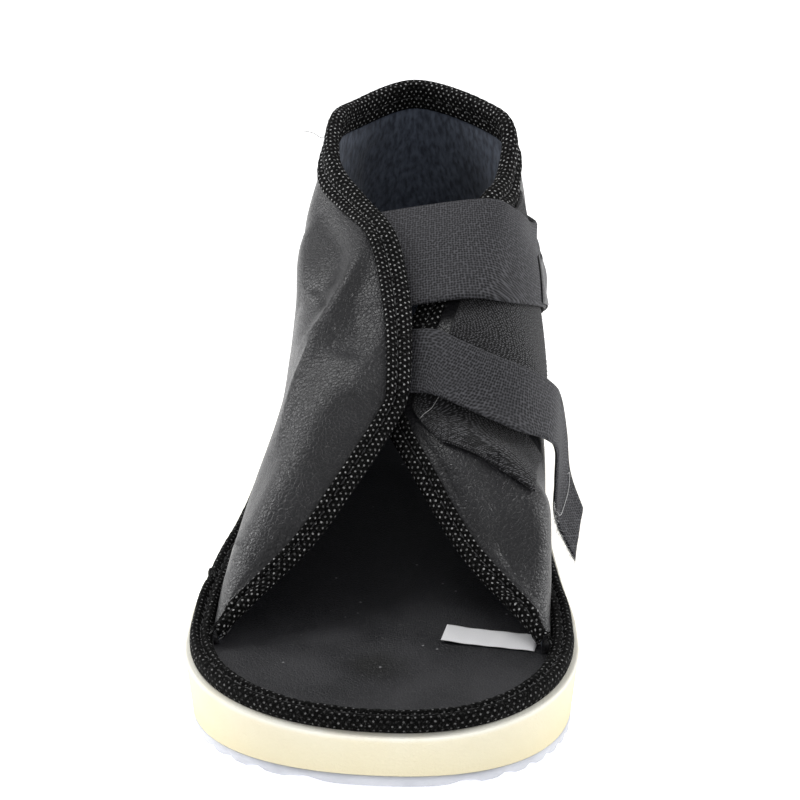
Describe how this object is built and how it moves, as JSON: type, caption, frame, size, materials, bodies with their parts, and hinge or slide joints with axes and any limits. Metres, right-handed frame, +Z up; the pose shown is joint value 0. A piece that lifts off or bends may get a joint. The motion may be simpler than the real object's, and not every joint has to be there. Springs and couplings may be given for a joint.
{
  "type": "cast shoe",
  "caption": "Open-toe cast shoe with a thick foam sole, a wrap-over upper and two hook-and-loop straps.",
  "frame": {"origin": "on the floor plane, at a tread rib halfway along the sole and on its middle line", "axes": "+Z up, +Y from toe to heel, +X to the side where the straps fasten"},
  "size_m": [0.1229, 0.3, 0.131],
  "materials": {
    "tread": "white, slightly shiny",
    "foam": "cream, matt, fine cells",
    "footbed": "black, fine grain",
    "upper": "black pebbled leatherette with dark lining",
    "tape": "black non-woven tape with pale pin dots",
    "loop": "black loop pile",
    "webbing": "dark grey hook-and-loop webbing",
    "label": "white woven tab, bare"
  },
  "bodies": {
    "root": {"outsole": "tread", "midsole": "foam", "footbed": "footbed", "rim_binding": "tape", "upper": "upper", "edge_binding": "tape", "loop_panel": "loop", "loop_tape": "loop", "strap_top": "webbing", "strap_low": "webbing", "label": "label"}
  },
  "joints": []
}
